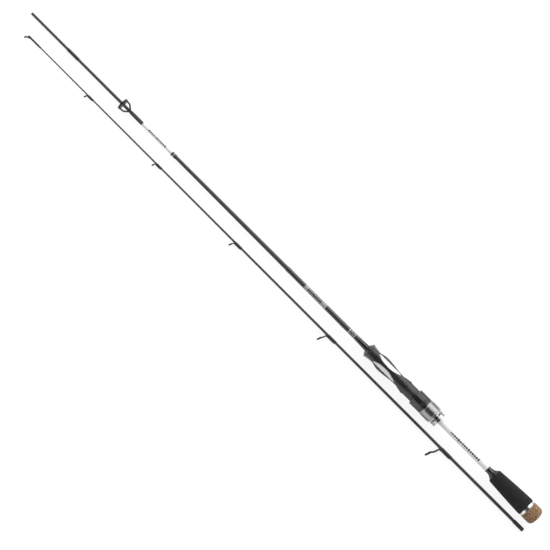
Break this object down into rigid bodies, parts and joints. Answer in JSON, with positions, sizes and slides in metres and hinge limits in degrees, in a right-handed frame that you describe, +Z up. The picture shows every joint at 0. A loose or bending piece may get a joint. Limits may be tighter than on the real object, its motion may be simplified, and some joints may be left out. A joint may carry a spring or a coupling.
{
  "type": "two-piece spinning rod",
  "caption": "Two-piece fishing rod taken apart: butt section with grip, screw-locking reel seat and stripper guide, beside its tip section with line guides and a tip-top.",
  "frame": {"origin": "centre of the floor under the two sections as they lie side by side", "axes": "+X from the butt towards the tip, +Y from the butt section towards the tip section, +Z up, out of the top of the reel seat"},
  "size_m": [1.0218, 0.0636, 0.0327],
  "materials": {
    "blank": "dark carbon laminate under clear lacquer, with painted bands",
    "cork": "pressed rubber cork, speckled, fine-sanded",
    "polished_metal": "polished bright ring",
    "foam": "closed-cell foam, matt, fine-sanded",
    "dark_metal": "anodised dark grey, satin",
    "seat_plastic": "moulded, glossy black",
    "pearl_panel": "pearl white lacquer",
    "arbor": "rigid foam, turned",
    "satin_metal": "satin, fluted",
    "label_lacquer": "clear lacquer over dark thread, with a plain silver band",
    "thread": "black thread under clear lacquer",
    "guide_frame": "black coated steel wire and strip",
    "guide_ceramic": "polished dark grey"
  },
  "bodies": {
    "butt_section": {"butt_blank": "blank", "butt_cap": "cork", "grip_ring": "polished_metal", "rear_grip": "foam", "rear_check": "dark_metal", "reel_seat": "seat_plastic", "seat_panel_left": "pearl_panel", "seat_panel_right": "pearl_panel", "seat_arbors": "arbor", "fore_check": "dark_metal", "label_wrap": "label_lacquer", "trim_bands": "polished_metal", "ferrule_stop_wrap": "thread", "stripper_frame": "guide_frame", "stripper_ring": "guide_ceramic", "stripper_wrap": "thread"},
    "hood": {"moving_hood": "seat_plastic"},
    "nut": {"nut_shell": "satin_metal", "nut_insert": "seat_plastic", "nut_ring": "polished_metal"},
    "tip_section": {"tip_blank": "blank", "socket_wrap": "thread", "guide_1_frame": "guide_frame", "guide_2_frame": "guide_frame", "guide_3_frame": "guide_frame", "guide_4_frame": "guide_frame", "guide_5_frame": "guide_frame", "guide_1_ring": "guide_ceramic", "guide_2_ring": "guide_ceramic", "guide_3_ring": "guide_ceramic", "guide_4_ring": "guide_ceramic", "guide_5_ring": "guide_ceramic", "guide_1_wrap": "thread", "guide_2_wrap": "thread", "guide_3_wrap": "thread", "guide_4_wrap": "thread", "guide_5_wrap": "thread", "top_frame": "guide_frame", "top_ring": "guide_ceramic", "top_wrap": "thread"}
  },
  "joints": [
    {"name": "hood_slide", "type": "slide", "parent": "butt_section", "child": "hood", "axis": [0.9999, 0, -0.0143], "range_m": [0, 0.016]},
    {"name": "nut_spin", "type": "hinge", "parent": "hood", "child": "nut", "pos_m": [-0.29343, -0.01775, 0.01343], "axis": [0.9999, 0, -0.0143], "range_deg": [0, 2880]},
    {"name": "tip_draw", "type": "slide", "parent": "butt_section", "child": "tip_section", "axis": [1, 0, 0], "range_m": [0, 1.035]}
  ],
  "couplings": [
    {"joint": "hood_slide", "follows": "nut_spin", "m_per_rad": 0.00031831}
  ]
}
